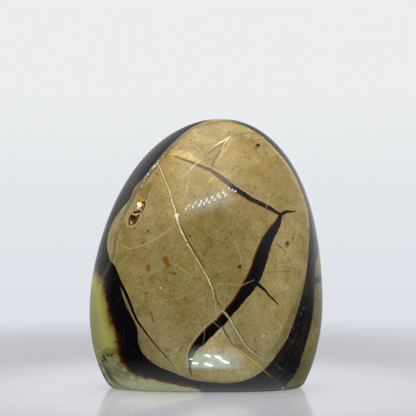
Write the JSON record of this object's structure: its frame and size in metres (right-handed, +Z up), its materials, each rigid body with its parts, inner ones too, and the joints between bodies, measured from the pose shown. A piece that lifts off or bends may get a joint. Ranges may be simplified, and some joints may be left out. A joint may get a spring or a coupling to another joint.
{
  "type": "septarian nodule",
  "caption": "Polished septarian nodule that stands on a flat base: tan mudstone cut by dark and yellow calcite, with a small crystal-lined pocket.",
  "frame": {"origin": "middle of the stone's box, on the plane its flat base rests on", "axes": "+Z up through the stone, +X to the right seen from the domed front, the front towards -Y"},
  "size_m": [0.086, 0.052, 0.1],
  "materials": {
    "septarian_stone": "high polish, tan mudstone with dark brown and yellow calcite septa",
    "honey_calcite": "natural crystal faces, honey brown and cream"
  },
  "bodies": {
    "root": {"nodule": "septarian_stone", "vug_crystals": "honey_calcite"}
  },
  "joints": []
}
